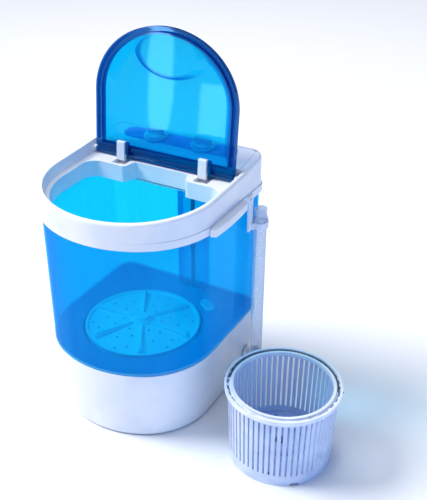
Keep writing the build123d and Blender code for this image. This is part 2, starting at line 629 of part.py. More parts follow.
parts["hose_hook"] = make_hook()
parts["hook_screw"] = Pos(169.0, 106.5, LIP_TOP - 9) * Rot(0, 90, 0) * Cylinder(3.0, 2.0)
gland = Pos(-95, 172, 40) * Rot(90, 0, 0) * (Cylinder(7.0, 20) + Pos(0, 0, -9) * Cylinder(11.0, 4))
parts["cord_gland"] = gland - Pos(-95, 172, 40) * Rot(90, 0, 0) * Cylinder(3.5, 60)

# ---- spin basket --------------------------------------------------------------------
BASKET_TOP_R = 95.0
BASKET_LOW_R = 90.6
BASKET_WALL = 2.2
RIM_H = 7.0
BAIL_Z = BASKET_H - 3.5 + BAIL_WIRE_R + 0.2
at_basket = Pos(BASKET_X, BASKET_Y, 0)


def cone_tube(low_r, high_r, wall, low, high):
    profile = Polyline((low_r - wall, low), (low_r, low), (high_r, high), (high_r - wall, high), (low_r - wall, low))
    return revolve(Plane.XZ * make_face(profile), Axis.Z)


def make_basket_wall():
    """Slightly tapered wall with upright slots all round and notches at the bottom edge."""
    wall = cone_tube(BASKET_LOW_R, BASKET_TOP_R, BASKET_WALL, 0.0, BASKET_H - RIM_H)
    cutters = []
    for k in range(BASKET_SLOTS):
        turn = Rot(0, 0, 360 / BASKET_SLOTS * k)
        cutters.append(turn * Pos(BASKET_TOP_R - 3, 0, 22 + 56) * Box(16, 3.4, 112))
    for k in range(3):
        cutters.append(Rot(0, 0, 120 * k - 50) * Pos(BASKET_LOW_R, 0, 0) * Box(12, 15, 9))
    return at_basket * (wall - cutters)


def make_basket_rim():
    """Double rim: two rings joined by a floor, with a channel between them for the bail."""
    top = BASKET_H
    low = BASKET_H - RIM_H
    profile = Polyline((BASKET_BORE_R, low), (BASKET_RIM_R, low), (BASKET_RIM_R, top), (BASKET_RIM_R - 4, top),
                       (BASKET_RIM_R - 4, top - 3.5), (BASKET_BORE_R + 5, top - 3.5), (BASKET_BORE_R + 5, top),
                       (BASKET_BORE_R, top), (BASKET_BORE_R, low))
    rim = revolve(Plane.XZ * make_face(profile), Axis.Z)
    mid = (BASKET_RIM_R - 4 + BASKET_BORE_R + 5) / 2
    cutters = []
    for k in range(24):
        cutters.append(Rot(0, 0, 15 * k + 7.5) * Pos(mid, 0, low) * Box(2.6, 11, 20))
    return at_basket * (rim - cutters)


def make_basket_floor():
    """Floor with a raised hub and drain holes."""
    floor = cone_tube(BASKET_LOW_R - BASKET_WALL, BASKET_LOW_R - BASKET_WALL, BASKET_LOW_R - 10, 8, 10.5)
    hub = z_tube(30.0, 10.0, 8.0, 20.0)
    hub = chamfer(hub.edges().group_by(Axis.Z)[-1].sort_by(SortBy.LENGTH)[-1], 5.0)
    floor += hub
    for k in range(18):
        angle = math.radians(20 * k)
        for radius in (45, 60, 75):
            floor -= z_cyl(2.5, 0, 15, radius * math.cos(angle), radius * math.sin(angle))
    return at_basket * floor


def make_bail():
    """Wire bail folded to the rear in the rim's channel, its ends hooked through the outer ring."""
    bend = 2.5
    tip = BASKET_RIM_R + 1.8
    path = Wire([
        Line((tip, 0), (BAIL_R + bend, 0)),
        RadiusArc((BAIL_R + bend, 0), (BAIL_R, bend), bend),
        ThreePointArc((BAIL_R, bend), (0, BAIL_R + bend), (-BAIL_R, bend)),
        RadiusArc((-BAIL_R, bend), (-BAIL_R - bend, 0), bend),
        Line((-BAIL_R - bend, 0), (-tip, 0)),
    ])
    wire = sweep(Plane.YZ.offset(tip) * Circle(BAIL_WIRE_R), path=path)
    return at_basket * Rot(0, 0, BAIL_TURN) * Pos(0, 0, BAIL_Z) * wire


def bail_bores():
    """The two holes through the rim's outer ring."""
    bore = Rot(0, 90, 0) * Cylinder(BAIL_WIRE_R + RUNNING, 12.0)
    pair = Pos(BASKET_RIM_R - 1, 0, BAIL_Z) * bore + Pos(1 - BASKET_RIM_R, 0, BAIL_Z) * bore
    return at_basket * Rot(0, 0, BAIL_TURN) * pair


parts["basket_wall"] = make_basket_wall()
parts["basket_rim"] = make_basket_rim() - bail_bores()
parts["basket_floor"] = make_basket_floor()
parts["basket_bail"] = make_bail()
parts["cover_screws"] = Compound([z_cyl(3.6, 1.2, 2.6, x, y) for x, y in COVER_SCREWS])

for name, solid in parts.items():
    export_step(solid, "parts/" + name + ".step")
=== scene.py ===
import bpy
import json
import math
from mathutils import Matrix, Vector


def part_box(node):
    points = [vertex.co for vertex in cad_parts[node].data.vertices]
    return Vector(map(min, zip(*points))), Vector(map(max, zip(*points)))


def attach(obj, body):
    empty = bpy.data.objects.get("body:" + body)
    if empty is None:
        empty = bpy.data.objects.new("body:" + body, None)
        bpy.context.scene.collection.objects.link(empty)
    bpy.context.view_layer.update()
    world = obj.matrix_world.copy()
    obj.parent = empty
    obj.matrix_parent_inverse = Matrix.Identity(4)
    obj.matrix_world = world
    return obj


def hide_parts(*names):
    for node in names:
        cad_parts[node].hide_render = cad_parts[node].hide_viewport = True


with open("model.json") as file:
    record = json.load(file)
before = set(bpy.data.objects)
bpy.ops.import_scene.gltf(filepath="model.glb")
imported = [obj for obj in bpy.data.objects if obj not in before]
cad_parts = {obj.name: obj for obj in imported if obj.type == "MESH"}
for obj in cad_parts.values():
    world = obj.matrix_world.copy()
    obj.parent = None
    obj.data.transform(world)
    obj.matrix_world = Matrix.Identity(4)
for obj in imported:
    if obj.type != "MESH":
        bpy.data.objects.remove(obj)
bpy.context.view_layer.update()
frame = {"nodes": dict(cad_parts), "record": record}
nodes = frame["nodes"]
print("frame loaded:", len(nodes), "nodes")


def linear(hexColour):
    # sRGB hex to the linear values that a socket takes
    parts = [int(hexColour[i:i + 2], 16) / 255 for i in (1, 3, 5)]
    return (*[c / 12.92 if c <= 0.04045 else ((c + 0.055) / 1.055) ** 2.4 for c in parts], 1.0)


def addNode(tree, kind, settings=None, links=None):
    # one node with its settings (colour stops, a property or a socket) and its incoming links
    node = tree.nodes.new(kind)
    for name, value in (settings or {}).items():
        if name == "stops":
            for element, (at, colour) in zip(node.color_ramp.elements, value):
                element.position, element.color = at, linear(colour)
        elif isinstance(name, str) and name in node.bl_rna.properties:
            setattr(node, name, value)
        else:
            node.inputs[name].default_value = value
    for name, source in (links or {}).items():
        tree.links.new(source, node.inputs[name])
    return node


def newMaterial(name):
    material = bpy.data.materials.new(name)
    material.use_nodes = True
    material.node_tree.nodes.clear()
    return material, material.node_tree


def setMaterial(piece, material):
    piece.data.materials.clear()
    piece.data.materials.append(material)


def objectNoise(tree, sizeMm, detail=3.0, rough=0.55, stretch=(1, 1, 1)):
    # noise whose blobs are about sizeMm across, on the piece's own coordinates
    place = addNode(tree, "ShaderNodeTexCoord")
    mapped = addNode(tree, "ShaderNodeMapping", {"Scale": stretch}, {"Vector": place.outputs["Object"]})
    noise = addNode(tree, "ShaderNodeTexNoise", {
        "Scale": 1000 / sizeMm, "Detail": detail, "Roughness": rough}, {"Vector": mapped.outputs["Vector"]})
    return noise.outputs["Fac"]


def twoTones(tree, noise, shade, bright, low=0.35, high=0.65):
    # colour that drifts from the shade to the bright tone as the noise rises from low to high
    return addNode(tree, "ShaderNodeValToRGB", {"stops": [(low, shade), (high, bright)]},
                   {"Fac": noise}).outputs["Color"]


def mouldedSkin(tree, colour, rough, roughNoise, relief, reliefNoise, depthMm, settings):
    # principled surface: the roughness varies between two values and a fine relief bends the highlights
    sheen = addNode(tree, "ShaderNodeMapRange", {"To Min": rough[0], "To Max": rough[1]},
                    {"Value": roughNoise})
    bump = addNode(tree, "ShaderNodeBump", {"Strength": relief, "Distance": depthMm / 1000},
                   {"Height": reliefNoise})
    return addNode(tree, "ShaderNodeBsdfPrincipled", settings, {
        "Base Color": colour, "Roughness": sheen.outputs["Result"], "Normal": bump.outputs["Normal"]})


whiteLook = {
    "bright": "#F6F8FC",    # fresh white ABS
    "shade": "#E9EFF9",     # cooler where the pigment is thinner
    "blotchMm": 90,
    "rough": (0.16, 0.27),
    "polishMm": 0.9,        # patches where the mould was polished less
    "peelMm": 5.0,          # orange peel of a polished mould, coarser than real so that it shows
    "peelDepthMm": 0.04,
    "peelStrength": 0.35,
    "ior": 1.53,
    "soak": 0.08,           # part of the light that scatters under the surface
    "soakDepth": 0.004,     # in metres
    "soakRadius": (1.0, 1.0, 1.1),
}


def glossyWhiteAbs():
    # injection-moulded ABS from a polished mould: clean white, sharp highlights with a faint ripple,
    # and edges that look soft because a little light soaks in
    material, tree = newMaterial("glossy_moulded_abs_white")
    blotch = objectNoise(tree, whiteLook["blotchMm"], 2.0)
    colour = twoTones(tree, blotch, whiteLook["shade"], whiteLook["bright"], high=0.6)
    peel = objectNoise(tree, whiteLook["peelMm"], 1.0)
    polish = objectNoise(tree, whiteLook["polishMm"], 2.0)
    skin = mouldedSkin(tree, colour, whiteLook["rough"], polish, whiteLook["peelStrength"], peel,
                       whiteLook["peelDepthMm"], {
                           "IOR": whiteLook["ior"], "Subsurface Weight": whiteLook["soak"],
                           "Subsurface Scale": whiteLook["soakDepth"],
                           "Subsurface Radius": whiteLook["soakRadius"]})
    addNode(tree, "ShaderNodeOutputMaterial", links={"Surface": skin.outputs["BSDF"]})
    return material


tubLook = {
    "tint": "#58F2FF",                  # what is seen straight through a wall
    "deep": "#48D6F8",                  # what is seen on a slant
    "body": ("#00B4F2", "#04C4FC"),     # the dye, between flow lines and on them
    "share": 0.21,                      # part of the wall that the dye scatters
    "rough": 0.06,
    "polish": 0.02,                     # part mirrored when seen square on
    "flowMm": 18,
    "edge": (0.1465, 0.1480),           # height band in metres where the wall ends on the base, where the painted glow sits
    "paintedGlow": "#7FDCFF",                  # painted glow: a brighter tone standing in for light that ran down inside the wall and comes out there
}
lidLook = {
    "tint": "#50EAFF", "deep": "#2A86D8", "body": ("#00B0F6", "#04BCFF"), "share": 0.24,
    "rough": 0.04, "polish": 0.05, "flowMm": 60,
}
# the lid's rim is thick, so its dye reads as a deep navy
rimLook = {
    "tint": "#40A8E4", "deep": "#2070B8", "body": ("#04589C", "#0870B8"), "share": 0.36,
    "rough": 0.05, "polish": 0.12, "flowMm": 60,
}
clearLook = {
    "gloss": "#8CCFFF",     # cool reflections
    "grazing": 0.42,        # part mirrored when seen edge on
    "curve": 4.5,           # how late the mirror sets in as the look slants
    "rippleMm": 40,
    "rippleDepthMm": 0.2,
    "rippleStrength": 0.4,
    "tones": (0.34, 0.62),  # noise values where the dye's two tones start and end
    "flow": (0.4, 0.7),     # noise values where a flow line starts and ends
    "flowGain": 1.15,       # the dye on a flow line against the dye beside it
    "paintedGlowGain": 0.45,       # extra scatter in the painted glow at the wall's foot
    "slant": (0.25, 0.85),  # facing values where the tint starts and ends to deepen
}


def clearPlastic(name, look):
    # dyed clear styrene, moulded and polished: what is behind shows through the tint, a little dye
    # scatters light in the body colour, and the faces carry cool, sharp reflections
    material, tree = newMaterial(name)
    # flow lines of the mould run upright
    streaks = objectNoise(tree, look["flowMm"], 1.0, 0.5, (1, 1, 0.03))
    bodyColour = twoTones(tree, streaks, *look["body"], *clearLook["tones"])
    amount = addNode(tree, "ShaderNodeMapRange", {
        "From Min": clearLook["flow"][0], "From Max": clearLook["flow"][1],
        "To Min": look["share"], "To Max": look["share"] * clearLook["flowGain"]},
        {"Value": streaks}).outputs["Result"]
    # painted glow: a bright band of dye colour and extra scatter at the foot of the wall, standing in for
    # light leaving its edge
    if "edge" in look:
        low, high = look["edge"]
        place = addNode(tree, "ShaderNodeTexCoord")
        height = addNode(tree, "ShaderNodeSeparateXYZ", links={"Vector": place.outputs["Object"]})
        paintedGlowBand = addNode(tree, "ShaderNodeMapRange", {
            "From Min": low, "From Max": high, "To Min": 1.0, "To Max": 0.0},
            {"Value": height.outputs["Z"]}).outputs["Result"]
        bodyColour = addNode(tree, "ShaderNodeMix", {"data_type": "RGBA", 7: linear(look["paintedGlow"])},
                             {0: paintedGlowBand, 6: bodyColour}).outputs[2]
        amount = addNode(tree, "ShaderNodeMath", {
            "operation": "MULTIPLY_ADD", 1: clearLook["paintedGlowGain"], "use_clamp": True},
            {0: paintedGlowBand, 2: amount}).outputs["Value"]
    ripple = objectNoise(tree, clearLook["rippleMm"], 1.0, 0.4, (1, 1, 0.3))
    bump = addNode(tree, "ShaderNodeBump", {
        "Strength": clearLook["rippleStrength"], "Distance": clearLook["rippleDepthMm"] / 1000},
        {"Height": ripple})
    # a slanting look crosses more plastic, so the tint deepens there
    facing = addNode(tree, "ShaderNodeLayerWeight", {"Blend": 0.5}, {"Normal": bump.outputs["Normal"]})
    slant = addNode(tree, "ShaderNodeMapRange", {
        "From Min": clearLook["slant"][0], "From Max": clearLook["slant"][1]},
        {"Value": facing.outputs["Facing"]})
    depth = addNode(tree, "ShaderNodeMix", {
        "data_type": "RGBA", 6: linear(look["tint"]), 7: linear(look["deep"])}, {0: slant.outputs["Result"]})
    clear = addNode(tree, "ShaderNodeBsdfTransparent", links={"Color": depth.outputs[2]})
    front = addNode(tree, "ShaderNodeBsdfDiffuse", links={"Color": bodyColour})
    through = addNode(tree, "ShaderNodeBsdfTranslucent", links={"Color": bodyColour})
    dye = addNode(tree, "ShaderNodeMixShader", {"Fac": 0.5},
                  {1: front.outputs["BSDF"], 2: through.outputs["BSDF"]})
    wall = addNode(tree, "ShaderNodeMixShader", links={
        "Fac": amount, 1: clear.outputs["BSDF"], 2: dye.outputs["Shader"]})
    gloss = addNode(tree, "ShaderNodeBsdfGlossy", {
        "Roughness": look["rough"], "Color": linear(clearLook["gloss"])}, {"Normal": bump.outputs["Normal"]})
    # Schlick's curve on the facing ratio, which treats the inside of the wall like its outside
    grazing = addNode(tree, "ShaderNodeMath", {"operation": "POWER", 1: clearLook["curve"]},
                      {0: facing.outputs["Facing"]})
    mirror = addNode(tree, "ShaderNodeMapRange", {"To Min": look["polish"], "To Max": clearLook["grazing"]},
                     {"Value": grazing.outputs["Value"]})
    whole = addNode(tree, "ShaderNodeMixShader", links={
        "Fac": mirror.outputs["Result"], 1: wall.outputs["Shader"], 2: gloss.outputs["BSDF"]})
    addNode(tree, "ShaderNodeOutputMaterial", links={"Surface": whole.outputs["Shader"]})
    return material


plainLook = {
    "blotchGrains": 12,     # grains across a blotch
    "spread": (0.8, 1.2),   # roughness between the grains and on them, times the material's own
    "strength": 0.4,
    "ior": 1.5,
}


def plainPlastic(name, bright, shade, roughness, grainMm, depthMm):
    # an opaque, dyed-through surface with blotches and a fine grain
    material, tree = newMaterial(name)
    colour = twoTones(tree, objectNoise(tree, grainMm * plainLook["blotchGrains"], 2.0), shade, bright)
    grain = objectNoise(tree, grainMm, 2.0)
    rough = [roughness * part for part in plainLook["spread"]]
    skin = mouldedSkin(tree, colour, rough, grain, plainLook["strength"], grain, depthMm,
                       {"IOR": plainLook["ior"]})
    addNode(tree, "ShaderNodeOutputMaterial", links={"Surface": skin.outputs["BSDF"]})
    return material


def metal(name, bright, shade, roughness, grainMm):
    # bare metal with a grain drawn out upright, which streaks its reflections
    material, tree = newMaterial(name)
    grain = objectNoise(tree, grainMm, 3.0, 0.6, (1, 1, 0.1))
    colour = twoTones(tree, grain, shade, bright, 0.3, 0.7)
    rough = addNode(tree, "ShaderNodeMapRange", {"To Min": roughness * 0.7, "To Max": roughness * 1.3},
                    {"Value": grain})
    shader = addNode(tree, "ShaderNodeBsdfPrincipled", {"Metallic": 1.0},
                     {"Base Color": colour, "Roughness": rough.outputs["Result"]})
    addNode(tree, "ShaderNodeOutputMaterial", links={"Surface": shader.outputs["BSDF"]})
    return material


milkyLook = {
    "bright": "#FBFDFF",
    "shade": "#EDF3FA",
    "cloudMm": 9,
    "rough": (0.3, 0.45),
    "skinMm": 1.5,
    "soak": 0.4,            # part of the light that passes on scattered
    "clear": 0.5,           # part of the light that passes straight
    "clearTint": "#F4F8FF",
}


def milkyHose():
    # extruded translucent polyethylene: milky, with a dull sheen, and a little of what is behind shows
    material, tree = newMaterial("milky_polyethylene_hose")
    cloud = objectNoise(tree, milkyLook["cloudMm"], 3.0)
    colour = twoTones(tree, cloud, milkyLook["shade"], milkyLook["bright"])
    low, high = milkyLook["rough"]
    rough = addNode(tree, "ShaderNodeMapRange", {"To Min": low, "To Max": high},
                    {"Value": objectNoise(tree, milkyLook["skinMm"], 2.0)})
    skin = addNode(tree, "ShaderNodeBsdfPrincipled", {"IOR": 1.5},
                   {"Base Color": colour, "Roughness": rough.outputs["Result"]})
    soak = addNode(tree, "ShaderNodeBsdfTranslucent", links={"Color": colour})
    body = addNode(tree, "ShaderNodeMixShader", {"Fac": milkyLook["soak"]},
                   {1: skin.outputs["BSDF"], 2: soak.outputs["BSDF"]})
    clear = addNode(tree, "ShaderNodeBsdfTransparent", {"Color": linear(milkyLook["clearTint"])})
    whole = addNode(tree, "ShaderNodeMixShader", {"Fac": milkyLook["clear"]},
                    {1: body.outputs["Shader"], 2: clear.outputs["BSDF"]})
    addNode(tree, "ShaderNodeOutputMaterial", links={"Surface": whole.outputs["Shader"]})
    return material


basketLook = {
    # the rim, wall and floor are lit and shaded copies of one white plastic: the rim's tone is painted light,
    # the wall's outer tone is painted shade dulled to lavender, and the floor's is a deeper painted shade
    "outer": ("#D6E0F4", "#C4D1EC"),
    "inner": "#CCDDF4",     # painted shade on the wall's inner face, deeper and cooler
    "rim": ("#F2F6FE", "#E2EAFA"),
    "floor": ("#A9C4F0", "#97B5E8"),
    "blotchMm": 28,
    "grainMm": 2.2,
    "grainDepthMm": 0.03,
    "grainStrength": 0.4,
    "rough": (0.2, 0.3),
    "ior": 1.49,
    # the wall's outer radius at the floor and at the height given, and its thickness, in metres
    "low": 0.0906, "high": 0.095, "height": 0.141, "wall": 0.0013,
    # drain slots in the channel of the rim, painted as dark dashes of shade: their painted shade colour,
    # count, share of the turn, and radius, height and half width
    "slotShade": "#4F72AC", "dashes": 36, "dashShare": 0.55,
    "dashRadius": 0.0945, "dashHeight": 0.1445, "dashReach": 0.0016,
}


def basketCoords(tree):
    # radius and angle about the basket's own axis, and height, in metres and radians
    low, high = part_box("basket_rim")
    place = addNode(tree, "ShaderNodeTexCoord")
    centred = addNode(tree, "ShaderNodeVectorMath", {
        "operation": "SUBTRACT", 1: ((low[0] + high[0]) / 2, (low[1] + high[1]) / 2, 0)},
        {0: place.outputs["Object"]})
    flat = addNode(tree, "ShaderNodeVectorMath", {"operation": "MULTIPLY", 1: (1, 1, 0)},
                   {0: centred.outputs["Vector"]})
    radius = addNode(tree, "ShaderNodeVectorMath", {"operation": "LENGTH"}, {0: flat.outputs["Vector"]})
    parts = addNode(tree, "ShaderNodeSeparateXYZ", links={"Vector": centred.outputs["Vector"]})
    angle = addNode(tree, "ShaderNodeMath", {"operation": "ARCTAN2"},
                    {0: parts.outputs["Y"], 1: parts.outputs["X"]})
    return radius.outputs["Value"], angle.outputs["Value"], parts.outputs["Z"]


def innerFace(tree, radius, height):
    # mask for the painted shade: 1 on the faces that lie inside the middle of the tapered wall
    slope = (basketLook["high"] - basketLook["low"]) / basketLook["height"]
    middle = addNode(tree, "ShaderNodeMath", {
        "operation": "MULTIPLY_ADD", 1: slope, 2: basketLook["low"] - basketLook["wall"]}, {0: height})
    return addNode(tree, "ShaderNodeMath", {"operation": "LESS_THAN"},
                   {0: radius, 1: middle.outputs["Value"]}).outputs["Value"]


def slotShadeMask(tree, radius, angle, height):
    # mask for the painted shade that stands in for the drain slots: 1 on short arcs along the floor of the
    # rim's channel
    turns = addNode(tree, "ShaderNodeMath", {"operation": "MULTIPLY", 1: basketLook["dashes"] / math.tau},
                    {0: angle})
    part = addNode(tree, "ShaderNodeMath", {"operation": "FRACT"}, {0: turns.outputs["Value"]})
    slotShade = addNode(tree, "ShaderNodeMath", {"operation": "LESS_THAN", 1: basketLook["dashShare"]},
                   {0: part.outputs["Value"]})
    mask = slotShade.outputs["Value"]
    for value, middle in ((radius, basketLook["dashRadius"]), (height, basketLook["dashHeight"])):
        near = addNode(tree, "ShaderNodeMath", {
            "operation": "COMPARE", 1: middle, 2: basketLook["dashReach"]}, {0: value})
        mask = addNode(tree, "ShaderNodeMath", {"operation": "MULTIPLY"},
                       {0: mask, 1: near.outputs["Value"]}).outputs["Value"]
    return mask


def basketPlastic(part, tones):
    # moulded polypropylene: an even satin gloss; each part takes a lit or shaded tone as painted light and
    # shade, painted shade gives the wall's inner face a deeper, cooler tone, and the rim's channel shows the
    # drain slots as dark dashes of painted shade in its floor
    material, tree = newMaterial("satin_polypropylene_basket_" + part)
    colour = twoTones(tree, objectNoise(tree, basketLook["blotchMm"], 2.0), tones[1], tones[0])
    radius, angle, height = basketCoords(tree)
    if part == "wall":
        # painted shade on the wall's inner face
        colour = addNode(tree, "ShaderNodeMix", {"data_type": "RGBA", 7: linear(basketLook["inner"])},
                         {0: innerFace(tree, radius, height), 6: colour}).outputs[2]
    if part == "rim":
        # painted shade: dark dashes where the drain slots open in the rim's channel
        colour = addNode(tree, "ShaderNodeMix", {"data_type": "RGBA", 7: linear(basketLook["slotShade"])},
                         {0: slotShadeMask(tree, radius, angle, height), 6: colour}).outputs[2]
    grain = objectNoise(tree, basketLook["grainMm"], 2.0)
    skin = mouldedSkin(tree, colour, basketLook["rough"], grain, basketLook["grainStrength"], grain,
                       basketLook["grainDepthMm"], {"IOR": basketLook["ior"]})
    addNode(tree, "ShaderNodeOutputMaterial", links={"Surface": skin.outputs["BSDF"]})
    return material


hosePe = milkyHose()
# screen-print ink: flat and matt, a clean white line
whiteInk = plainPlastic("screen_print_ink_white", "#F4F8FF", "#E2ECFA", 0.5, grainMm=0.6, depthMm=0.01)
rimStyrene = clearPlastic("clear_styrene_blue_rim", rimLook)
slotMaterial = {
    "white_abs": glossyWhiteAbs(),
    "clear_blue_tub": clearPlastic("clear_styrene_blue_tub", tubLook),
    "clear_blue_lid": clearPlastic("clear_styrene_blue_lid", lidLook),
    "hose_pe": hosePe,
    # printed polyester foil: smooth and bright, with a soft reflection
    "blue_print": plainPlastic("printed_foil_blue", "#3C8CE4", "#2F7CD6", 0.3, grainMm=2.0, depthMm=0.02),
    # moulded polypropylene: a softer, waxier gloss than ABS
    "pulsator_pp": plainPlastic("satin_polypropylene_pale", "#FFFFFF", "#F0F8FE", 0.32,
                                grainMm=3.0, depthMm=0.04),
    # the same from a better polished mould, so it shines more
    "basket_pp": plainPlastic("glossy_polypropylene_basket", "#D4DEF7", "#C3D0F0", 0.22,
                              grainMm=2.5, depthMm=0.03),
    # drawn wire: thin bright streaks along a dark line
    "bail_wire": metal("drawn_steel_wire", "#7E828A", "#5B5F66", 0.3, grainMm=0.5),
    # moulded rubber: nearly black, with no clear highlight
    "foot_rubber": plainPlastic("moulded_rubber_black", "#1B1C1F", "#131417", 0.75, grainMm=1.2, depthMm=0.1),
    # ground belt rubber: duller still, with a rough grain
    "belt_rubber": plainPlastic("belt_rubber_black", "#161616", "#0E0E0E", 0.8, grainMm=0.8, depthMm=0.1),
    # turned steel: bright, with fine marks of the tool
    "steel": metal("turned_steel", "#C9CBD0", "#A4A7AD", 0.28, grainMm=0.6),
    # zinc plating: a paler and slightly cloudy metal
    "zinc_screw": metal("zinc_plated_steel", "#D6D8DC", "#B4B8BE", 0.32, grainMm=0.8),
    # sprayed enamel on a steel can: dark grey with a soft shine
    "motor_can": plainPlastic("painted_steel_can", "#3A3D43", "#2D3035", 0.35, grainMm=1.0, depthMm=0.03),
    # moulded nylon: mid grey and slightly waxy
    "grey_nylon": plainPlastic("moulded_nylon_grey", "#93979E", "#82868D", 0.45, grainMm=1.5, depthMm=0.05),
    # moulded plastic from an eroded mould: black with a dull, even sheen
    "black_plastic": plainPlastic("moulded_plastic_black", "#1E1F23", "#15161A", 0.4,
                                  grainMm=1.5, depthMm=0.05),
}
for subpart in frame["record"]["subparts"]:
    setMaterial(nodes[subpart["node"]], slotMaterial[subpart["material_slot"]])
for node in ("lid_frame", "lid_barrel"):
    setMaterial(nodes[node], rimStyrene)
# each basket part takes its lit or shaded copy of the plastic, as painted light and shade
for part, tones in (("wall", "outer"), ("rim", "rim"), ("floor", "floor")):
    setMaterial(nodes["basket_" + part], basketPlastic(part, basketLook[tones]))
print("materials set")


def newTree(name, inputs):
    # an empty geometry tree with the named inputs
    tree = bpy.data.node_groups.new(name, "GeometryNodeTree")
    tree.interface.new_socket("Geometry", in_out="INPUT", socket_type="NodeSocketGeometry")
    tree.interface.new_socket("Geometry", in_out="OUTPUT", socket_type="NodeSocketGeometry")
    for label, kind in inputs.items():
        tree.interface.new_socket(label, in_out="INPUT", socket_type="NodeSocket" + kind)
    return tree, tree.nodes.new("NodeGroupInput"), tree.nodes.new("NodeGroupOutput")


def closeTree(tree, geometry, groupIn, groupOut):
    whole = addNode(tree, "GeometryNodeRealizeInstances", links={"Geometry": geometry})
    painted = addNode(tree, "GeometryNodeSetMaterial", links={
        "Geometry": whole.outputs["Geometry"], "Material": groupIn.outputs["Material"]})
    tree.links.new(painted.outputs["Geometry"], groupOut.inputs["Geometry"])


def grow(name, tree, values, vertices, edges=()):
    # runs the tree on a small guide mesh and keeps the result as a plain mesh object
    guide = bpy.data.meshes.new(name + "Guide")
    guide.from_pydata(vertices, edges, [])
    carrier = bpy.data.objects.new(name + "Carrier", guide)
    bpy.context.scene.collection.objects.link(carrier)
    modifier = carrier.modifiers.new("grow", "NODES")
    modifier.node_group = tree
    for item in tree.interface.items_tree:
        if item.item_type == "SOCKET" and item.in_out == "INPUT" and item.name in values:
            modifier[item.identifier] = values[item.name]
    bpy.context.view_layer.update()
    ready = carrier.evaluated_get(bpy.context.evaluated_depsgraph_get())
    mesh = bpy.data.meshes.new_from_object(ready)
    mesh.name = name
    piece = bpy.data.objects.new(name, mesh)
    bpy.context.scene.collection.objects.link(piece)
    bpy.data.objects.remove(carrier)
    return piece


hose = {
    "radius": 0.0110,
    "ribDepth": 0.0009,     # either side of the radius
    "pitch": 0.0044,
    "stepsPerRib": 8.0,
    "around": 32,
    "smoothAngle": 80,      # degrees, edges sharper than this stay sharp
}


def makeHose():
    # corrugated tube: its radius follows a sine along the run
    tree, groupIn, groupOut = newTree("corrugatedTube", {
        "Radius": "Float", "Rib Depth": "Float", "Rib Pitch": "Float", "Material": "Material"})
    curve = addNode(tree, "GeometryNodeMeshToCurve", links={"Mesh": groupIn.outputs["Geometry"]})
    step = addNode(tree, "ShaderNodeMath", {"operation": "DIVIDE", 1: hose["stepsPerRib"]},
                   {0: groupIn.outputs["Rib Pitch"]})
    fine = addNode(tree, "GeometryNodeResampleCurve", {"mode": "LENGTH"},
                   {"Curve": curve.outputs["Curve"], "Length": step.outputs["Value"]})
    along = addNode(tree, "GeometryNodeSplineParameter")
    turns = addNode(tree, "ShaderNodeMath", {"operation": "DIVIDE"},
                    {0: along.outputs["Length"], 1: groupIn.outputs["Rib Pitch"]})
    phase = addNode(tree, "ShaderNodeMath", {"operation": "MULTIPLY", 1: math.tau},
                    {0: turns.outputs["Value"]})
    wave = addNode(tree, "ShaderNodeMath", {"operation": "SINE"}, {0: phase.outputs["Value"]})
    lift = addNode(tree, "ShaderNodeMath", {"operation": "MULTIPLY_ADD"}, {
        0: wave.outputs["Value"], 1: groupIn.outputs["Rib Depth"], 2: groupIn.outputs["Radius"]})
    sized = addNode(tree, "GeometryNodeSetCurveRadius",
                    links={"Curve": fine.outputs["Curve"], "Radius": lift.outputs["Value"]})
    ring = addNode(tree, "GeometryNodeCurvePrimitiveCircle", {"Resolution": hose["around"], "Radius": 1.0})
    reader = addNode(tree, "GeometryNodeInputRadius")
    tube = addNode(tree, "GeometryNodeCurveToMesh", links={
        "Curve": sized.outputs["Curve"], "Profile Curve": ring.outputs["Curve"],
        "Scale": reader.outputs["Radius"]})
    closeTree(tree, tube.outputs["Mesh"], groupIn, groupOut)
    low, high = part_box("drain_hose")
    x, y = (low[0] + high[0]) / 2, (low[1] + high[1]) / 2
    piece = grow("drain_hose_corrugated", tree, {
        "Radius": hose["radius"], "Rib Depth": hose["ribDepth"], "Rib Pitch": hose["pitch"],
        "Material": hosePe}, [(x, y, low[2]), (x, y, high[2])], [(0, 1)])
    piece.data.polygons.foreach_set("use_smooth", [True] * len(piece.data.polygons))
    piece.data.set_sharp_from_angle(angle=math.radians(hose["smoothAngle"]))
    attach(piece, "washer")
    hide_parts("drain_hose")


makeHose()
print("hose made")

dial = {
    "radius": 0.0262,
    "mark": (0.0030, 0.0007, 0.0003),   # length out from the knob, width and thickness
    "height": 0.00065,                  # middle of a mark above the deck, just over the band's face
    "arcSteps": 64,
    # joint: piece, marks, first angle and sweep in degrees
    "timer_turn": ("timer_dial", 16, -60, 300),
    "selector_turn": ("selector_dial", 3, 30, 120),
}


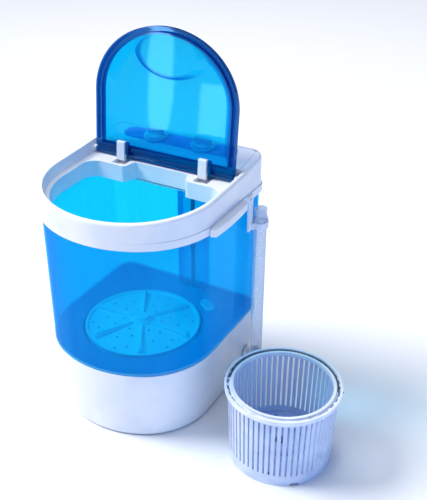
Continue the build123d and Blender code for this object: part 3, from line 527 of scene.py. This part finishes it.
def makeDialMarks(joint):
    # printed tick marks on an arc round one knob, a hair proud of the blue band; where the arc
    # leaves the band they hover over the white deck
    name, count, first, sweep = dial[joint["name"]]
    tree, groupIn, groupOut = newTree(name + "Marks", {
        "Radius": "Float", "Count": "Int", "Start": "Float", "Sweep": "Float", "Material": "Material"})
    arc = addNode(tree, "GeometryNodeCurveArc", {"Resolution": dial["arcSteps"]}, {
        "Radius": groupIn.outputs["Radius"], "Start Angle": groupIn.outputs["Start"],
        "Sweep Angle": groupIn.outputs["Sweep"]})
    points = addNode(tree, "GeometryNodeCurveToPoints", {"mode": "COUNT"},
                     {"Curve": arc.outputs["Curve"], "Count": groupIn.outputs["Count"]})
    bar = addNode(tree, "GeometryNodeMeshCube", {"Size": dial["mark"]})
    where = addNode(tree, "GeometryNodeInputPosition")
    turn = addNode(tree, "FunctionNodeAlignRotationToVector", {"axis": "X"},
                   {"Vector": where.outputs["Position"]})
    copies = addNode(tree, "GeometryNodeInstanceOnPoints", links={
        "Points": points.outputs["Points"], "Instance": bar.outputs["Mesh"],
        "Rotation": turn.outputs["Rotation"]})
    closeTree(tree, copies.outputs["Instances"], groupIn, groupOut)
    piece = grow(name + "_marks", tree, {
        "Radius": dial["radius"], "Count": count, "Start": math.radians(first),
        "Sweep": math.radians(sweep), "Material": whiteInk}, [(0, 0, 0)])
    axis = Vector(joint["axis"])
    side = Vector((1, 0, 0))
    place = Matrix((side, axis.cross(side), axis)).transposed().to_4x4()
    place.translation = Vector(joint["pos_m"]) + axis * dial["height"]
    piece.data.transform(place)
    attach(piece, "washer")


joints = {joint["name"]: joint for joint in frame["record"]["behaviour"]["joints"]}
makeDialMarks(joints["timer_turn"])
makeDialMarks(joints["selector_turn"])
print("dial marks made")

studio = {
    "floorSize": 30.0,
    "floor": "#F8F9FB",
    "floorShade": "#F7F8FA",
    "world": "#CAD9FD",
    "worldStrength": 0.20,
    "sunStrength": 2.95,
    "sunFrom": (-1.03, -0.35, 1.03),
    "sunAngle": 26,
    "target": (0.05, 0.0, 0.28),    # the lamps look at it
    # lamp: place, width, height, power, colour, shape
    "lamps": {
        "top": ((-0.7, 0.3, 3.2), 3.4, 3.4, 66, (1.0, 1.0, 1.0), "RECTANGLE"),
        "fill": ((1.8, -0.9, 0.6), 1.2, 1.2, 12, (0.16, 0.42, 1.0), "RECTANGLE"),
        "strip": ((-0.80, -1.2, 0.38), 0.09, 0.60, 0.62, (1.0, 1.0, 1.0), "ELLIPSE"),
        "edge": ((-0.58, -1.2, 0.24), 0.10, 0.26, 0.34, (1.0, 1.0, 1.0), "RECTANGLE"),
    },
}


def hold(name, data):
    # an object for the lamp or camera, in the scene
    holder = bpy.data.objects.new(name, data)
    bpy.context.scene.collection.objects.link(holder)
    return holder


def makeStudio():
    size = studio["floorSize"]
    mesh = bpy.data.meshes.new("studioFloor")
    corners = [(-size, -size, 0), (size, -size, 0), (size, size, 0), (-size, size, 0)]
    mesh.from_pydata(corners, [], [(0, 1, 2, 3)])
    floor = hold("studioFloor", mesh)
    # backdrop paper: a pale, even and quite matt ground
    setMaterial(floor, plainPlastic("matte_studio_paper", studio["floor"], studio["floorShade"], 0.9,
                                    grainMm=1.0, depthMm=0.005))

    world = bpy.data.worlds.new("studioWorld")
    world.use_nodes = True
    background = world.node_tree.nodes["Background"]
    background.inputs["Color"].default_value = linear(studio["world"])
    background.inputs["Strength"].default_value = studio["worldStrength"]
    bpy.context.scene.world = world

    sun = bpy.data.lights.new("windowSun", "SUN")
    sun.energy, sun.angle = studio["sunStrength"], math.radians(studio["sunAngle"])
    holder = hold("windowSun", sun)
    holder.visible_glossy = False    # its wide disc would glare in the lid's sloping wall
    holder.rotation_euler = (-Vector(studio["sunFrom"])).to_track_quat("-Z", "Y").to_euler()

    for name, (place, width, height, power, colour, shape) in studio["lamps"].items():
        lamp = bpy.data.lights.new(name + "Softbox", "AREA")
        lamp.shape = shape
        lamp.energy, lamp.size, lamp.size_y, lamp.color = power, width, height, colour
        holder = hold(name + "Softbox", lamp)
        holder.location = place
        aim = Vector(studio["target"]) - holder.location
        holder.rotation_euler = aim.to_track_quat("-Z", "Y").to_euler()


view = {
    "place": (0.71681, -1.04901, 1.02786),
    "azimuth": 28.351,
    "elevation": 29.884,
    "roll": 0.332,
    "focalMm": 58.39,
    "sensorMm": 36,         # on the long side
}


def makeCamera():
    az, el = math.radians(view["azimuth"]), math.radians(view["elevation"])
    back = Vector((math.sin(az) * math.cos(el), -math.cos(az) * math.cos(el), math.sin(el)))
    right = (-back).cross(Vector((0, 0, 1))).normalized()
    up = right.cross(-back)
    turn = math.radians(view["roll"])
    right, up = (right * math.cos(turn) + up * math.sin(turn), up * math.cos(turn) - right * math.sin(turn))
    camera = hold("camera", bpy.data.cameras.new("camera"))
    camera.data.sensor_width, camera.data.lens = view["sensorMm"], view["focalMm"]
    rotation = Matrix((right, up, back)).transposed().to_4x4()
    camera.matrix_world = Matrix.Translation(Vector(view["place"])) @ rotation
    bpy.context.scene.camera = camera


makeStudio()
makeCamera()
bpy.context.scene.view_settings.view_transform = "Standard"
print("studio and camera set")

bpy.context.view_layer.update()
